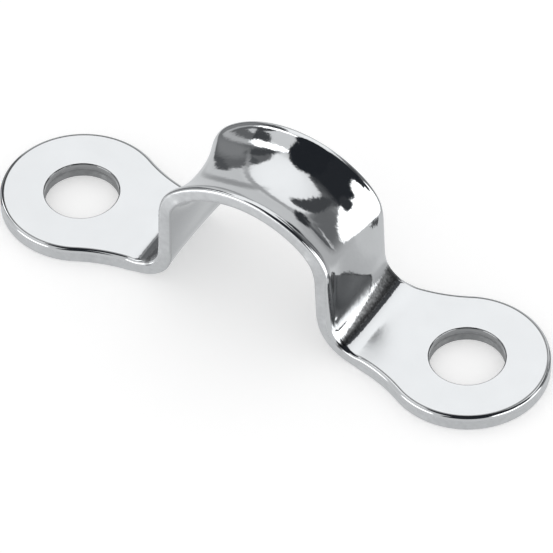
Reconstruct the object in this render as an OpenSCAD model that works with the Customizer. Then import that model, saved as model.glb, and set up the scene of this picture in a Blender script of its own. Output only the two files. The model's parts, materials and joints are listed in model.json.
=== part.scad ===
// Fairlead chock: a strip of stainless sheet pressed into a rope eye with two screw feet.
// The mounting face is z = 0, the feet run along X and the rope runs through the arch along Y.

/* [Feet] */
// Distance between the two fixing holes
hole_spacing = 38; // [37:0.5:42]
// Diameter of each fixing hole, clear of its fastener
hole_d = 6.4; // [5:0.1:7]
// Width of each round foot
foot_w = 14; // [13:0.5:16]
// Radius of the hollow flanks between a foot and the neck of the strip
flank_r = 14; // [12:1:20]

/* [Sheet] */
// Thickness of the sheet
sheet_t = 1.5; // [1.2:0.1:1.8]
// Width of the strip through the bends and the arch
neck_w = 9.4; // [8:0.2:10]
// Radius of the polished edge all round the strip
edge_r = 0.4; // [0.2:0.05:0.6]
// Radius of the eased rim of each hole
rim_r = 0.2; // [0.1:0.05:0.4]

/* [Arch] */
// Height of the arch to its flared edge lines, before the edges are rounded
arch_h = 14.7; // [14:0.1:17]
// Radius of the crown at mid thickness
crown_r = 9.5; // [8:0.1:10.5]
// Angle from the top of the arch to the end of the crown
crown_angle = 44; // [38:1:50]
// Radius of each shoulder at mid thickness
shoulder_r = 3.8; // [3:0.1:4.5]
// Steepness of the legs
leg_angle = 89; // [80:1:90]
// Radius of the bend between leg and foot at mid thickness
bend_r = 3.2; // [2.4:0.1:3.6]

/* [Saddle] */
// How far the middle of the strip is pressed in below its two flared edges
dish_depth = 1.2; // [0:0.1:1.6]
// Power of the curve across the strip: 2 is a parabola, more is flatter in the middle
dish_power = 2.4; // [2:0.1:4]
// Distance along the strip from the top of the arch over which the dish is full depth
dish_full = 7.5; // [5:0.5:9]
// Distance along the strip at which the dish has run out
dish_end = 16.5; // [13:0.5:17]
// How far the middle of the strip bows the other way at each tight bend
bow_depth = 0.15; // [0:0.05:0.3]
// How far up the leg from the bend that bow begins
bow_reach = 3; // [1:0.5:4]
// Power of the turn, across the strip, that leaves the edges square to the centre line
square_power = 3; // [2:0.5:6]

/* [Hidden] */

// The centre line, walked from the top of the arch: crown, shoulder, leg, bend, foot.
mid_t = sheet_t / 2;
rad = PI / 180;
crown_x = (crown_r - shoulder_r) * sin(crown_angle);
crown_z = arch_h - mid_t - crown_r + (crown_r - shoulder_r) * cos(crown_angle);
leg_top = [crown_x + shoulder_r * sin(leg_angle), crown_z + shoulder_r * cos(leg_angle)];
bend_z = mid_t + bend_r;
leg_len = (leg_top[1] - bend_z + bend_r * cos(leg_angle)) / sin(leg_angle);
leg_foot = leg_top + leg_len * [cos(leg_angle), -sin(leg_angle)];
bend_x = leg_foot[0] + bend_r * sin(leg_angle);
s_crown = crown_r * crown_angle * rad;
s_shoulder = s_crown + shoulder_r * (leg_angle - crown_angle) * rad;
s_leg = s_shoulder + leg_len;
s_bend = s_leg + bend_r * leg_angle * rad;

// The blank's outline: a straight neck, a hollow flank and a round end about each hole.
neck = neck_w / 2;
foot_r = foot_w / 2;
s_hole = s_bend + hole_spacing / 2 - bend_x;
flank_s = s_hole - sqrt(pow(foot_r + flank_r, 2) - pow(neck + flank_r, 2));
end_angle = atan2(neck + flank_r, flank_s - s_hole);
s_round = s_hole + foot_r * cos(end_angle);

// Steps of each stretch of the outline and of the section.
crown_steps = 9;
shoulder_steps = 9;
leg_steps = 5;
bend_steps = 12;
flank_steps = 5;
end_steps = 14;
face_steps = 8;
edge_steps = 4;

// Point [x, z] of the centre line a distance s from the top of the arch.
function spine(s) =
    s < s_crown ? let (a = s / crown_r / rad)
        [crown_r * sin(a), arch_h - mid_t - crown_r * (1 - cos(a))] :
    s < s_shoulder ? let (a = crown_angle + (s - s_crown) / shoulder_r / rad)
        [crown_x + shoulder_r * sin(a), crown_z + shoulder_r * cos(a)] :
    s < s_leg ? leg_top + (s - s_shoulder) * [cos(leg_angle), -sin(leg_angle)] :
    s < s_bend ? let (a = (s_bend - s) / bend_r / rad)
        [bend_x - bend_r * sin(a), bend_z - bend_r * cos(a)] :
    [bend_x + s - s_bend, mid_t];

// Slope of the centre line there, in degrees below level.
function slope(s) =
    s < s_crown ? s / crown_r / rad :
    s < s_shoulder ? crown_angle + (s - s_crown) / shoulder_r / rad :
    s < s_leg ? leg_angle :
    s < s_bend ? (s_bend - s) / bend_r / rad : 0;

// Depth of the dish along the strip: full over the crown, then a smooth run-out, less the
// bow that a tight bend gives to a wide strip.
function dish(s) =
    let (u = min(max((s - dish_full) / (dish_end - dish_full), 0), 1),
         from = s_leg - bow_reach,
         b = s > from && s < s_bend ? sin(180 * (s - from) / (s_bend - from)) : 0)
    dish_depth * (1 - u * u * (3 - 2 * u)) - bow_depth * b * b;

// Point of the sheet's middle surface, s along the strip and y across it.
function middle(s, y) =
    let (c = spine(s), a = slope(s), d = dish(s) * (1 - pow(abs(y) / neck, dish_power)))
    [c[0] - d * sin(a), y, c[1] - d * cos(a)];

// The same point moved by h along the sheet's own normal, which turns towards the edges
// to the normal of the centre line: the edges were ground upright after pressing.
function formed(s, y, h) =
    let (e = 0.01,
         lean = 1 - pow(min(abs(y) / neck, 1), square_power),
         along = middle(s + e, y) - middle(s - e, y),
         slant = middle(s, y + e) - middle(s, y - e),
         across = [lean * slant[0], slant[1], lean * slant[2]],
         n = cross(along, across))
    middle(s, y) + h * n / norm(n);

// Stations along half the strip: a place on the neck or flank as ["side", s], and one on
// the round end as ["end", angle]. The last is the tip.
function ramp(a, b, n) = [for (i = [1 : n]) a + (b - a) * i / n];
sides = concat([0], ramp(0, s_crown, crown_steps), ramp(s_crown, s_shoulder, shoulder_steps),
    ramp(s_shoulder, s_leg, leg_steps), ramp(s_leg, s_bend, bend_steps),
    ramp(s_bend, s_round, flank_steps));
stations = concat([for (s = sides) ["side", s]],
    [for (a = ramp(end_angle, 0, end_steps)) ["end", a]]);
last = len(stations) - 1;

// Outline point [s, half width] of a station, moved in from the edge by d.
function outline(k, d) =
    let (kind = stations[k][0], v = stations[k][1])
    kind == "end" ? [s_hole + (foot_r - d) * cos(v), (foot_r - d) * sin(v)] :
    v <= flank_s ? [v, neck - d] :
    let (a = asin((v - flank_s) / flank_r))
    [flank_s + (flank_r + d) * sin(a), neck + flank_r - (flank_r + d) * cos(a)];

// The section, once round, as [part of the half width, inset, height]: over the top face,
// down the right edge, back under and up the left edge.
quarter = [for (a = ramp(0, 90, edge_steps))
    [edge_r * (1 - sin(a)), mid_t - edge_r * (1 - cos(a))]];
edge = concat(quarter, [for (i = [edge_steps - 1 : -1 : 0]) [quarter[i][0], -quarter[i][1]]]);
face = [for (i = [0 : face_steps]) 2 * i / face_steps - 1];
section = concat([for (v = face) [v, edge_r, mid_t]], [for (q = edge) [1, q[0], q[1]]],
    [for (v = face) [-v, edge_r, -mid_t]], [for (q = edge) [-1, q[0], -q[1]]]);
ring = len(section);
under = ring / 2;

// Point j of the section at station k, on the right (side 1) or the left (side -1).
function strip_point(k, j, side) =
    let (q = section[j], o = outline(k, q[1]), p = formed(o[0], q[0] * o[1], q[2]))
    [side * p[0], p[1], p[2]];

// The formed strip: rings of points from one tip over the arch to the other. At a tip each
// face closes to one point, and each edge point shares the index of its mirror image.
module strip() {
    rings = concat([for (k = [last : -1 : 1]) [k, -1]], [for (k = [0 : last]) [k, 1]]);
    count = len(rings);
    function paired(j) =
        j <= face_steps ? 0 :
        j >= under && j <= under + face_steps ? under :
        min(j, (face_steps - j + ring) % ring);
    function index(i, j) = i * ring + (i == 0 || i == count - 1 ? paired(j % ring) : j % ring);
    function distinct(f) = [for (i = [0 : 2]) if (f[i] != f[(i + 1) % 3]) f[i]];
    faces = [for (i = [0 : count - 2]) for (j = [0 : ring - 1])
        each [distinct([index(i, j), index(i + 1, j + 1), index(i + 1, j)]),
              distinct([index(i, j), index(i, j + 1), index(i + 1, j + 1)])]];
    polyhedron([for (r = rings) for (j = [0 : ring - 1]) strip_point(r[0], j, r[1])],
        [for (f = faces) if (len(f) == 3) f]);
}

// One fixing hole with both rims eased: a true bore, cut down through a foot.
module fixing_hole() {
    rotate_extrude($fn = 96)
        difference() {
            translate([0, -1])
                square([hole_d / 2 + rim_r, sheet_t + 2]);
            translate([hole_d / 2, rim_r])
                square([2 * rim_r, sheet_t - 2 * rim_r]);
            for (z = [rim_r, sheet_t - rim_r])
                translate([hole_d / 2 + rim_r, z])
                    circle(rim_r, $fn = 32);
        }
}

// The whole chock is this one pressing, mirror polished.
module strap() {
    color([0.8, 0.81, 0.83])
        difference() {
            strip();
            for (side = [-1, 1])
                translate([side * hole_spacing / 2, 0, 0])
                    fixing_hole();
        }
}

strap();
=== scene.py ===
import json
import math

import bmesh
import bpy
import numpy as np
from mathutils import Matrix, Vector


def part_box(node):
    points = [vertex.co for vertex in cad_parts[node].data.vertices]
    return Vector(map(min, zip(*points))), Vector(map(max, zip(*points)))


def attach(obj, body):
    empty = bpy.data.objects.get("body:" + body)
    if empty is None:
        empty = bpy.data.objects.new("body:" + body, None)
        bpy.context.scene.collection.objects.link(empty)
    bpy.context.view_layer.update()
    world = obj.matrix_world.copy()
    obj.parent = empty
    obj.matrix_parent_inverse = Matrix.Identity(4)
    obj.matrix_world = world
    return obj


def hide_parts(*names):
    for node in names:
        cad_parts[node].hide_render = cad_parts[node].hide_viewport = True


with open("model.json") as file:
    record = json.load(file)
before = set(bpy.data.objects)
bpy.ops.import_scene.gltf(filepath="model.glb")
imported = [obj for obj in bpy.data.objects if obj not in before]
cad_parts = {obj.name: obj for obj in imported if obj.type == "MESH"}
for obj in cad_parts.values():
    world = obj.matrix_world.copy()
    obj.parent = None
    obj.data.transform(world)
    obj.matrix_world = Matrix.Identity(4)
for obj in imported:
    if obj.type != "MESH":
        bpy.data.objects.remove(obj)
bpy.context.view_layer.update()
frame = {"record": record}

# ---------------------------------------------------------------------------------------
# Strap: the whole fairlead. One strip of 1.5 mm stainless sheet, blanked with two round
# ends and two holes, pressed over a former into an arch with a dished middle and two flat
# feet, then deburred all round and buffed to a mirror. All lengths are in metres.

mounts = {mount["name"]: mount for mount in frame["record"]["mounts"]}
strap_low, strap_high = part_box("strap")

# Blank.
hole_spacing = mounts["deck_holes"]["dims"]["spacing_x_mm"] / 1000
hole_radius = mounts["deck_holes"]["dims"]["hole_r_mm"] / 1000
foot_radius = strap_high[0] - hole_spacing / 2
sheet = 0.0015
neck = 0.0047
flank_radius = 0.014

# Pressed centre line, at mid thickness: its arcs, and the length over which the curvature
# of one passes into the next.
arch_height = 0.0147
crown_radius = 0.0095
crown_angle = math.radians(44)
shoulder_radius = 0.0038
leg_angle = math.radians(89)
bend_radius = 0.0032
ease = 0.0010
line_step = 5e-6

# Dish of the arch, the bow the other way over each tight bend, how late across the strip
# the section turns square, and the small swelling of the edges inside a tight bend.
dish_depth = 0.0012
dish_power = 2.4
dish_full = 0.0075
dish_end = 0.0165
bow_depth = 0.00015
bow_reach = 0.003
square_power = 3
swell = 0.10
swell_power = 6
swell_limit = 1.2

# Rounded edges: how far the polished round runs in from the edge and down it, on the top
# of the arch, the part of that left on the feet, and the smaller round underneath. A face
# stops a hair short of its round, which keeps the shading of the flat feet flat.
edge_in = 0.00080
edge_down = 0.00045
edge_on_feet = 0.5
edge_under = 0.00018
hair = 0.00004

# Bores: the eased rims, the height where the burnished land gives way to the torn break,
# and how much wider the break is.
rim = 0.00012
punch_land = 0.00010
punch_break = 0.00002

# Steps of the mesh, how far round a quarter turn the points across a face are spread, and
# the distance within which points are welded.
arch_steps = 210
flank_steps = 22
end_steps = 60
across_steps = 28
across_turn = 0.8
hole_steps = 9
top_round_steps = 12
low_round_steps = 7
top_rim_steps = 8
low_rim_steps = 6
wall_rows = 4
bore_steps = 4
weld = 2e-7


def walked_line():
    """Centre line from the crown outwards: the curvature eases from each arc to the next
    with a smooth step, and one running sum gives the slope and two more the place."""
    top = arch_height - sheet / 2
    crown_z = top - crown_radius + (crown_radius - shoulder_radius) * math.cos(crown_angle)
    leg_z = crown_z + shoulder_radius * math.cos(leg_angle)
    leg_drop = leg_z - sheet / 2 - bend_radius * (1 - math.cos(leg_angle))
    stretches = [crown_radius * crown_angle, shoulder_radius * (leg_angle - crown_angle),
                 leg_drop / math.sin(leg_angle), bend_radius * leg_angle]
    turns = [1 / crown_radius, 1 / shoulder_radius, 0, -1 / bend_radius, 0]
    ends = np.cumsum(stretches)
    s = np.arange(0, ends[-1] + hole_spacing, line_step)
    bend = np.full_like(s, turns[0])
    for end, before, after in zip(ends, turns, turns[1:]):
        u = np.clip((s - end) / ease + 0.5, 0, 1)
        bend += (after - before) * u * u * (3 - 2 * u)

    def running(values):
        return np.concatenate([[0], np.cumsum((values[1:] + values[:-1]) / 2) * line_step])

    slope = running(bend)
    x = running(np.cos(slope))
    z = -running(np.sin(slope))
    return s, x, z - z[-1] + sheet / 2, slope, bend, ends


line_s, line_x, line_z, line_slope, line_bend, line_ends = walked_line()
bend_from = line_ends[2]
bend_to = line_ends[3]
hole_s = float(np.interp(hole_spacing / 2, line_x, line_s))
flank_s = hole_s - math.sqrt((foot_radius + flank_radius) ** 2 - (neck + flank_radius) ** 2)
round_from = math.atan2(neck + flank_radius, flank_s - hole_s)
round_s = hole_s + foot_radius * math.cos(round_from)


def dish_at(s):
    """Depth of the dish along the strip and its rate of change: full over the crown, then
    a smooth step down to nothing on the legs, less a sine-squared bow over each bend."""
    u = np.clip((s - dish_full) / (dish_end - dish_full), 0, 1)
    bow_from = bend_from - bow_reach
    turn = math.pi / (bend_to - bow_from)
    a = turn * np.clip(s - bow_from, 0, math.pi / turn)
    depth = dish_depth * (1 - u * u * (3 - 2 * u)) - bow_depth * np.sin(a) ** 2
    rate = (-dish_depth * 6 * u * (1 - u) / (dish_end - dish_full)
            - bow_depth * turn * np.sin(2 * a))
    return depth, rate


def pressed(s, y, h):
    """A point of the flat blank (s along, y across, h above mid thickness) after pressing:
    the centre line carries it, and the dish moves it in along the line's normal. Towards
    the edges h turns from the dished sheet's own normal to the line's, since the edges
    were ground square to the centre line after pressing. Near the edges the width grows
    where the inside of a bend was squeezed."""
    out = np.abs(s)
    side = np.where(s < 0, -1.0, 1.0)
    x, z, slope, bend = (np.interp(out, line_s, values)
                         for values in (line_x, line_z, line_slope, line_bend))
    part = np.abs(y) / neck
    depth, rate = dish_at(out)
    move = -depth * (1 - part ** dish_power)
    move_s = -rate * (1 - part ** dish_power)
    move_y = depth * dish_power * part ** (dish_power - 1) / neck * np.sign(y)
    stretch = 1 + bend * move
    along = np.stack([np.cos(slope), 0 * slope, -np.sin(slope)], -1)
    up = np.stack([np.sin(slope), 0 * slope, np.cos(slope)], -1)
    across = np.array([0.0, 1.0, 0.0])
    square = 1 - np.minimum(part, 1) ** square_power
    normal = (stretch[..., None] * up - move_s[..., None] * along
              - (stretch * move_y * square)[..., None] * across)
    normal /= np.linalg.norm(normal, axis=-1, keepdims=True)
    wide = y * (1 - swell * bend * h * np.minimum(part, swell_limit) ** swell_power)
    point = np.stack([x, wide, z], -1) + move[..., None] * up + h[..., None] * normal
    point[..., 0] *= side
    return point


def outline(station, inset):
    """Outline of the blank moved in by inset, as (s, half width): a straight neck, a hollow
    flank struck from outside the strip and a round end struck from the hole. A station up
    to 1 is along neck and flank, and from 1 to 2 is round the end to the tip."""
    s = np.minimum(station, 1) * round_s
    turn = round_from * (2 - np.maximum(station, 1))
    lean = np.arcsin(np.clip((s - flank_s) / flank_radius, 0, 1))
    on_side = station <= 1
    on_neck = on_side & (s <= flank_s)
    side_s = np.where(on_neck, s, flank_s + (flank_radius + inset) * np.sin(lean))
    side_w = np.where(on_neck, neck - inset,
                      neck + flank_radius - (flank_radius + inset) * np.cos(lean))
    end_s = hole_s + (foot_radius - inset) * np.cos(turn)
    end_w = (foot_radius - inset) * np.sin(turn)
    return np.where(on_side, side_s, end_s), np.where(on_side, side_w, end_w)


def edge_share(station):
    """How much of the full round the top edge has: all of it over the arch, falling with a
    smooth step through the bends to the lesser round of the feet."""
    s = np.minimum(station, 1) * round_s
    u = np.clip((s - bend_from) / (bend_to - bend_from), 0, 1)
    return 1 - (1 - edge_on_feet) * u * u * (3 - 2 * u)


def face_inset(station, top):
    """How far in from the outline a face stops, on top (1) or underneath (-1)."""
    if top == 1:
        return hair + edge_in * edge_share(station)
    return hair + edge_under + 0 * station


def rounded(run_in, run_down, steps):
    """A quarter of an ellipse from a flat face to an upright wall, as (inset, drop)."""
    a = np.linspace(0, math.pi / 2, steps)
    return run_in * (1 - np.sin(a)), run_down * (1 - np.cos(a))


# Stations along half the strip, up to where a foot is flat and on from there to the tip,
# and places across a face from -1 to 1, a little closer together towards the edges.
foot_station = (bend_to + ease) / round_s
arch_stations = np.linspace(0, foot_station, arch_steps)
foot_stations = np.concatenate([np.linspace(foot_station, 1, flank_steps)[1:],
                                np.linspace(1, 2, end_steps)[1:]])
quarter = math.pi / 2 * across_turn
places = np.sin(np.linspace(-quarter, quarter, across_steps + 1)) / math.sin(quarter)


def strip_faces():
    """The two faces between the feet: a line of places across the width at every station
    from one foot over the arch to the other."""
    station = np.concatenate([-arch_stations[:0:-1], arch_stations])
    for top in (1, -1):
        s, w = outline(np.abs(station), face_inset(np.abs(station), top))
        S = np.repeat((s * np.sign(station))[:, None], len(places), 1)
        yield S, w[:, None] * places, np.full_like(S, top * sheet / 2)


def foot_rays(top):
    """Directions and lengths of the rays from the hole to the border of a foot's face: the
    last line across the strip, then one side out to the tip and the other side back."""
    last = arch_stations[-1:]
    s_last, w_last = outline(last, face_inset(last, top))
    s_side, w_side = outline(foot_stations, face_inset(foot_stations, top))
    s = np.concatenate([np.full(len(places), s_last[0]), s_side, s_side[-2::-1], s_last])
    y = np.concatenate([w_last[0] * places, w_side, -w_side[-2::-1], -w_last])
    reach = np.hypot(s - hole_s, y)
    return np.stack([(s - hole_s) / reach, y / reach], -1), reach


def foot_faces():
    """The two faces of each foot: even steps along the rays, from the hole's rim out."""
    start = hole_radius + rim + hair
    part = np.linspace(0, 1, hole_steps)
    for top in (1, -1):
        aim, reach = foot_rays(top)
        R = start + (reach - start)[:, None] * part
        for way in (1, -1):
            S = way * (hole_s + aim[:, :1] * R)
            yield S, aim[:, 1:] * R, np.full_like(S, top * sheet / 2)


def outer_edges():
    """The outer edge of each quarter of the strip. At every station a column of insets and
    heights runs from the top face over its round, down the wall and round underneath."""
    station = np.concatenate([arch_stations, foot_stations])
    share = edge_share(station)[:, None]
    level = 0 * share
    top_in, top_drop = rounded(edge_in, edge_down, top_round_steps)
    low_in, low_drop = rounded(edge_under, edge_under, low_round_steps)
    wall_top = sheet / 2 - edge_down * share
    wall_foot = edge_under - sheet / 2
    wall = wall_top + (wall_foot - wall_top) * np.linspace(0, 1, wall_rows + 2)[1:-1]
    inset = np.concatenate([face_inset(station, 1)[:, None], top_in * share, 0 * wall,
                            low_in[::-1] + level, face_inset(station, -1)[:, None]], 1)
    height = np.concatenate([level + sheet / 2, sheet / 2 - top_drop * share, wall,
                             low_drop[::-1] - sheet / 2 + level, level - sheet / 2], 1)
    s, w = outline(station[:, None], inset)
    for way in (1, -1):
        for hand in (1, -1):
            yield way * s, hand * w, height


def bores():
    """The two bores: a column of radii and heights (eased rim, burnished land, torn break,
    eased rim) turned about the hole, its rays swinging on the way down from those of the
    top face to those of the underside."""
    top_in, top_drop = rounded(rim, rim, top_rim_steps)
    low_in, low_drop = rounded(rim, rim, low_rim_steps)
    land = np.linspace(sheet / 2 - rim, punch_land, bore_steps)[1:]
    torn = np.linspace(punch_land - punch_break, rim - sheet / 2, bore_steps)[:-1]
    radius = hole_radius + np.concatenate([[rim + hair], top_in, 0 * land,
                                           punch_break + 0 * torn, low_in[::-1],
                                           [rim + hair]])
    level = np.concatenate([[sheet / 2], sheet / 2 - top_drop, land, torn,
                            low_drop[::-1] - sheet / 2, [-sheet / 2]])
    swing = np.linspace(0, 1, len(radius))[:, None]
    aim = foot_rays(1)[0][:, None] * (1 - swing) + foot_rays(-1)[0][:, None] * swing
    aim /= np.linalg.norm(aim, axis=-1, keepdims=True)
    for way in (1, -1):
        S = way * (hole_s + aim[..., 0] * radius)
        yield S, aim[..., 1] * radius, level + 0 * S


def grid_faces(rows, columns):
    """Quads of a grid of points numbered row by row."""
    i, j = np.meshgrid(np.arange(rows - 1), np.arange(columns - 1), indexing="ij")
    a = (i * columns + j).ravel()
    return np.stack([a, a + columns, a + columns + 1, a + 1], -1)


def strap_mesh():
    """All patches of the blank's skin pressed to shape and welded where their borders
    meet. Each point keeps its place on the blank as along, across and depth."""
    blank, quads, count = [], [], 0
    for s, y, h in [*strip_faces(), *foot_faces(), *outer_edges(), *bores()]:
        quads.append(grid_faces(*s.shape) + count)
        blank.append(np.stack([s.ravel(), y.ravel(), h.ravel()], -1))
        count += s.size
    blank = np.concatenate(blank)
    quads = np.concatenate(quads)
    place = pressed(*blank.T)
    _, keep, index = np.unique(np.round(place / weld).astype(np.int64), axis=0,
                               return_index=True, return_inverse=True)
    index = index.reshape(-1)
    mesh = bpy.data.meshes.new("strap")
    faces = [tuple(dict.fromkeys(face)) for face in index[quads].tolist()]
    mesh.from_pydata(place[keep].tolist(), [], [face for face in faces if len(face) > 2])
    mesh.validate()
    for name, values in zip(("along", "across", "depth"), blank[keep].T):
        layer = mesh.attributes.new(name, "FLOAT", "POINT")
        layer.data.foreach_set("value", values.astype(np.float32))
    shell = bmesh.new()
    shell.from_mesh(mesh)
    bmesh.ops.recalc_face_normals(shell, faces=shell.faces)
    shell.to_mesh(mesh)
    shell.free()
    mesh.polygons.foreach_set("use_smooth", np.ones(len(mesh.polygons), dtype=bool))
    mesh.update()
    return mesh


strap = bpy.data.objects.new("strap_pressing", strap_mesh())
bpy.context.scene.collection.objects.link(strap)
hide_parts("strap")
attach(strap, "root")


class Wire:
    """A value in a node tree. Its operators add Math nodes, so that a pattern is written as
    plain arithmetic on wires and numbers."""

    def __init__(self, nodes, socket):
        self.nodes = nodes
        self.socket = socket

    def math(self, operation, *values):
        return self.nodes.add("ShaderNodeMath", {"operation": operation},
                              dict(enumerate(values)))

    def __add__(self, other):
        return self.math("ADD", self, other)

    def __sub__(self, other):
        return self.math("SUBTRACT", self, other)

    def __rsub__(self, other):
        return self.math("SUBTRACT", other, self)

    def __mul__(self, other):
        return self.math("MULTIPLY", self, other)

    def __pow__(self, power):
        return self.math("POWER", self, power)

    def __abs__(self):
        return self.math("ABSOLUTE", self)

    __radd__ = __add__
    __rmul__ = __mul__

    def fade(self, start, end):
        """A smooth step from 0 at start to 1 at end."""
        return self.nodes.add("ShaderNodeMapRange", {"interpolation_type": "SMOOTHSTEP"},
                              {"Value": self, "From Min": start, "From Max": end})


class Nodes:
    """A node tree being written."""

    def __init__(self, owner):
        owner.use_nodes = True
        self.tree = owner.node_tree
        self.tree.nodes.clear()

    def add(self, kind, settings=None, inputs=None, output=0):
        """Adds a node of this type, with its settings made first and then its sockets given
        a wire or a value, and returns the wire from one of its outputs."""
        node = self.tree.nodes.new(kind)
        for name, value in (settings or {}).items():
            setattr(node, name, value)
        for name, value in (inputs or {}).items():
            if isinstance(value, Wire):
                self.tree.links.new(value.socket, node.inputs[name])
            else:
                node.inputs[name].default_value = value
        return Wire(self, node.outputs[output]) if len(node.outputs) else node


# Finish of the buffed faces. A pattern is (scale per metre, octaves of detail): the wheel's
# long wave and the finer orange peel are relief, haze is roughness and clouds are shade.
# The peel is mostly buffed out of the flat feet.
steel = (0.745, 0.75, 0.755, 1)
black = (0.0, 0.0, 0.0, 1)
shine = 0.92
mirror = 0.045
wave = (700, 1)
wave_relief = 5e-6
peel = (2600, 2)
peel_relief = 6e-6
peel_gone_on_feet = 0.7
haze = (260, 3)
haze_roughness = 0.03
clouds = (420, 4)
cloud_shade = 0.08
grain = (14000, 3)

# Satin wall below the polished round, and the duller underside, whose colour is darkened as
# painted shadow, both between pairs of distances below the top face.
wall_start = (0.00030, 0.00050)
wall_end = (0.00140, 0.00149)
wall_relief = 0.8e-6
wall_roughness = 0.22
wall_shade = 0.05
mottle = (2200, 4)
mottle_shade = 0.25
underside_start = (0.00135, 0.00149)
underside_roughness = 0.10
# Painted shadow: how much the underside's colour is darkened.
underside_painted_shadow = 0.25

# Flat of each foot, from the end of the bend outwards, where the wheel left it a little
# less sharp and its colour is lifted a little as a painted sheen, with a thin dark line
# painted where it turns over into its round, standing in for a dark reflection there.
foot_start = (-0.001, 0.001)
foot_end = (0.000002, 0.000012)
foot_roughness = 0.17
# Painted sheen: how much the flat's colour is lifted.
foot_painted_sheen = 0.04
border_start = (0.0, 0.000006)
border_end = (0.000023, 0.000029)
# Painted dark reflection: how much the colour along that line is darkened.
painted_edge_line_shade = 0.65

# Marks of the former, scored across the strip in the hollow of each bend, between pairs of
# distances past the bend's end: the whole way across to starboard, and only towards the
# front and more lightly to port. Their inner limit lies askew. The marks are rougher, and
# their colour is darkened in streaks as a painted dark reflection.
score_start = (-0.0034, -0.0029)
score_end = (-0.0020, -0.0015)
score_skew = 0.15
score_waver = (5000, 2)
score_waver_width = 0.0007
score_side = (-0.001, 0.001)
score_front = (-0.0042, -0.0025)
score_to_port = 0.6
score_roughness = 0.12
# Painted dark reflection: how much the marks' colour is darkened, and how much more in
# streaks.
score_painted_reflection = 0.56
streaks = (4000, 2)
streak_painted_reflection = 0.36

# Bores, from just inside their rims, with the torn break starting below the land.
bore_end = (hole_radius + 0.00003, hole_radius + 0.00009)
torn_start = (sheet / 2 - punch_land, sheet / 2 - punch_land + 0.00006)
torn_relief = 3e-6
torn_roughness = 0.15
# Painted shade: how much the bore walls' colour is darkened.
bore_painted_shade = 0.5


def polished_steel():
    """Mirror-buffed stainless. Each zone is a mask from 0 to 1, worked out from a point's
    place on the blank; relief, roughness and shade are sums of masks and patterns."""
    material = bpy.data.materials.new("polished_stainless")
    nodes = Nodes(material)
    place = nodes.add("ShaderNodeTexCoord", output="Object")
    along, across, depth = (nodes.add("ShaderNodeAttribute", {"attribute_name": name},
                                      output="Fac") for name in ("along", "across", "depth"))

    def noise(pattern):
        scale, detail = pattern
        return nodes.add("ShaderNodeTexNoise", {},
                         {"Vector": place, "Scale": scale, "Detail": detail}, output="Fac")

    below = sheet / 2 - depth
    past_bend = abs(along) - bend_to
    from_hole = ((abs(along) - hole_s) ** 2 + across * across) ** 0.5

    wall = below.fade(*wall_start)
    satin = wall * (1 - below.fade(*wall_end))
    underside = below.fade(*underside_start)
    foot = past_bend.fade(*foot_start) * (1 - wall)
    flat = foot * (1 - below.fade(*foot_end))
    border = foot * below.fade(*border_start) * (1 - below.fade(*border_end))
    starboard = along.fade(*score_side)
    front = 1 - across.fade(*score_front)
    wavering = past_bend + (noise(score_waver) - 0.5) * score_waver_width
    scored_and_painted_reflection = ((wavering + across * score_skew).fade(*score_start)
              * (1 - wavering.fade(*score_end)) * (1 - wall)
              * (starboard + (1 - starboard) * front * score_to_port))
    bore = 1 - from_hole.fade(*bore_end)
    torn = bore * below.fade(*torn_start)

    relief = (noise(wave) * wave_relief
              + noise(peel) * peel_relief * (1 - foot * peel_gone_on_feet)
              + noise(grain) * (torn * torn_relief + satin * wall_relief))
    rough = (mirror + noise(haze) * haze_roughness + satin * wall_roughness
             + scored_and_painted_reflection * score_roughness + torn * torn_roughness + flat * foot_roughness
             + underside * underside_roughness)
    shade = (shine + flat * foot_painted_sheen - border * painted_edge_line_shade - bore * bore_painted_shade
             - scored_and_painted_reflection * (score_painted_reflection + noise(streaks) * streak_painted_reflection)
             - satin * (wall_shade + (noise(mottle) - 0.5) * mottle_shade)
             - underside * underside_painted_shadow - (noise(clouds) - 0.5) * cloud_shade)

    colour = nodes.add("ShaderNodeMix", {"data_type": "RGBA"},
                       {"Factor": shade, 6: black, 7: steel}, output=2)
    normal = nodes.add("ShaderNodeBump", {},
                       {"Height": relief, "Strength": 1.0, "Distance": 1.0})
    surface = nodes.add("ShaderNodeBsdfPrincipled", {},
                        {"Base Color": colour, "Metallic": 1.0, "Roughness": rough,
                         "Normal": normal})
    nodes.add("ShaderNodeOutputMaterial", {}, {"Surface": surface})
    return material


strap.data.materials.append(polished_steel())

# ---------------------------------------------------------------------------------------
# Floor: a wide round sheet of matt white paper that the feet lie on. It glows faintly, so
# that it stays pale, and the steel doesn't mirror it, because the light tent below has a
# card of its own for the table.
floor_radius = 1.5
floor_sides = 96
floor_gap = 0.00002
paper_white = (0.85, 0.85, 0.85, 1)
paper_roughness = 0.9
glow_white = (1, 1, 1, 1)
glow = 0.35

turn = np.linspace(0, 2 * math.pi, floor_sides + 1)[:-1]
corners = np.stack([floor_radius * np.cos(turn), floor_radius * np.sin(turn),
                    0 * turn - floor_gap], -1)
floor_mesh = bpy.data.meshes.new("floor")
floor_mesh.from_pydata(corners.tolist(), [], [list(range(floor_sides))])
floor = bpy.data.objects.new("floor", floor_mesh)
bpy.context.scene.collection.objects.link(floor)
paper = bpy.data.materials.new("paper")
nodes = Nodes(paper)
surface = nodes.add("ShaderNodeBsdfPrincipled", {},
                    {"Base Color": paper_white, "Roughness": paper_roughness,
                     "Emission Color": glow_white, "Emission Strength": glow})
nodes.add("ShaderNodeOutputMaterial", {}, {"Surface": surface})
floor.data.materials.append(paper)
floor.visible_glossy = False

# ---------------------------------------------------------------------------------------
# Camera: a very long lens half a metre away, in front of the strap, to starboard and well
# above it, a degree off level. It is aimed a little to the right of the middle and above.
azimuth = math.radians(31.82)
elevation = math.radians(46.63)
roll = math.radians(-1.06)
distance = 0.5462
aim_right = 0.000356
aim_up = 0.000679
lens = 420.28
sensor = 36
nearest = 0.01

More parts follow.
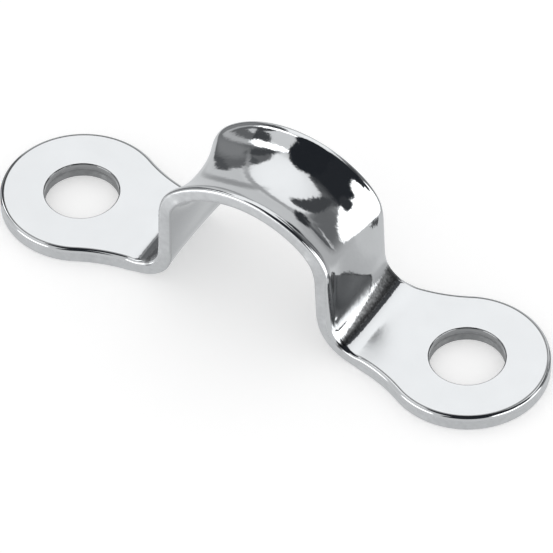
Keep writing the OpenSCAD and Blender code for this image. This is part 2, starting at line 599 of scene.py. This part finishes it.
back = Vector((math.sin(azimuth) * math.cos(elevation),
               -math.cos(azimuth) * math.cos(elevation), math.sin(elevation)))
level_right = Vector((math.cos(azimuth), math.sin(azimuth), 0))
level_up = back.cross(level_right)
right = level_right * math.cos(roll) + level_up * math.sin(roll)
up = level_up * math.cos(roll) - level_right * math.sin(roll)
stand = right * aim_right + up * aim_up + back * distance
camera = bpy.data.objects.new("camera", bpy.data.cameras.new("camera"))
bpy.context.scene.collection.objects.link(camera)
camera.data.lens = lens
camera.data.sensor_width = sensor
camera.data.clip_start = nearest
camera.matrix_world = (Matrix.Translation(stand)
                       @ Matrix((right, up, back)).transposed().to_4x4())
bpy.context.scene.camera = camera

# ---------------------------------------------------------------------------------------
# Studio: a light tent with lamps, dark doors and gaps, mirrored all over the buffed steel.
# The paper and the backdrop see only its even light.
even_light = 0.80
even_white = (1, 1, 1, 1)
tent_level = 0.72
tent_tint = (0.985, 1.0, 1.01)
tent_lift = (0.0, 0.003, 0.008)

# Cards, in degrees as seen from the strap, each laid over those before it: (turn, height,
# width, tall, roll, shape, softness, level). Turn 0 is on the wall that the camera faces,
# with positive to the camera's left; shape is 2 for an oval and 4 for a rounded oblong.
cards = [
    # Table, the walls' dim foot on the right, and a soft panel high on the left.
    (0, -66, 400, 60, 0, 4, 0.08, 0.74),
    (-62, -6, 44, 56, 0, 4, 0.20, 0.55),
    (72, 58, 60, 30, 0, 4, 0.10, 0.82),
    # Black gap high on the right, and a dim patch below it.
    (-112, 66, 104, 64, 0, 4, 0.06, 0.022),
    (-71, 22, 34, 62, 0, 2, 0.60, 0.17),
    # Broad lamp over the far wall, with its bright middle.
    (-20, 49, 106, 46, 0, 2, 0.07, 0.95),
    (-12, 50, 74, 38, 0, 2, 0.80, 1.22),
    # Dark door on the left, the paler panel in it, and the dark and pale strips about it.
    (37, 16, 38, 76, 9, 4, 0.06, 0.16),
    (34, 6, 14, 44, 12, 2, 0.60, 0.27),
    (53, 40, 16, 18, 8, 4, 0.15, 0.07),
    (31, 42, 10, 34, -6, 2, 0.40, 0.07),
    (20, 32, 14, 5, -50, 2, 0.40, 0.10),
    (22, -3, 5, 28, 18, 2, 0.30, 0.10),
    (45, 12, 5, 60, 8, 2, 0.80, 0.55),
    (43, 56, 12, 54, 3, 2, 0.15, 2.4),
    # Edges of the cloth on the far wall, and dark stands on the right.
    (-62, 40, 50, 13, -3, 2, 0.15, 0.07),
    (2, 5, 7, 44, 29, 2, 0.80, 0.40),
    (-14, 25, 60, 5, 3, 2, 0.90, 0.46),
    (-46, 20, 14, 17, 10, 2, 0.25, 0.04),
    (-59, 3, 5, 34, -30, 2, 0.50, 0.12),
    (-66, 0, 3, 30, -14, 2, 0.50, 0.70),
    # Strong lamp on the right, in two parts, with a dark notch.
    (-112, 3, 58, 62, 4, 4, 0.05, 2.2),
    (-136, 15, 34, 60, 0, 2, 0.05, 2.2),
    (-104, 32, 18, 20, 0, 2, 0.20, 0.04),
    # Open top of the tent, strong lamp on the left, and the dark room behind the camera.
    (0, 92, 400, 44, 0, 4, 0.06, 0.018),
    (116, -2, 44, 62, 0, 4, 0.06, 2.2),
    (170, 52, 50, 74, 0, 4, 0.06, 0.018),
    (-172, 52, 36, 74, 0, 4, 0.06, 0.018),
]

world = bpy.data.worlds.new("studio")
bpy.context.scene.world = world
nodes = Nodes(world)
way = nodes.add("ShaderNodeTexCoord", output="Generated")
x, y, z = (nodes.add("ShaderNodeSeparateXYZ", {}, {"Vector": way}, output=axis)
           for axis in "XYZ")
leftward = x * -math.cos(azimuth) - y * math.sin(azimuth)
forward = y * math.cos(azimuth) - x * math.sin(azimuth)
turned = leftward.math("ARCTAN2", leftward, forward) * math.degrees(1)
raised = z.math("ARCSINE", z) * math.degrees(1)


def beyond_card(card_turn, card_height, width, tall, card_roll, shape, softness):
    """0 on a card and 1 off it: the place is measured along the card's two axes in half
    widths, and the sum of both to the power of its shape passes 1 at the card's edge."""
    cosine = math.cos(math.radians(card_roll))
    sine = math.sin(math.radians(card_roll))
    wide = turned * (2 * cosine / width) + (
        raised * (2 * sine / width) - 2 * (card_turn * cosine + card_height * sine) / width)
    high = raised * (2 * cosine / tall) + (
        turned * (-2 * sine / tall) - 2 * (card_height * cosine - card_turn * sine) / tall)
    for _ in range(shape // 2):
        wide = wide * wide
        high = high * high
    return (wide + high).fade((1 - softness) ** shape, (1 + softness) ** shape)


level = tent_level
for *card, card_level in cards:
    level = beyond_card(*card) * (level - card_level) + card_level
tinted = nodes.add("ShaderNodeCombineXYZ", {},
                   {axis: level * tint + lift
                    for axis, tint, lift in zip("XYZ", tent_tint, tent_lift)})
mirrored = nodes.add("ShaderNodeBackground", {}, {"Color": tinted, "Strength": 1.0})
even = nodes.add("ShaderNodeBackground", {}, {"Color": even_white, "Strength": even_light})
glossy_ray = nodes.add("ShaderNodeLightPath", output="Is Glossy Ray")
tent = nodes.add("ShaderNodeMixShader", {}, {0: glossy_ray, 1: even, 2: mirrored})
nodes.add("ShaderNodeOutputWorld", {}, {"Surface": tent})
bpy.context.scene.view_settings.view_transform = "Standard"
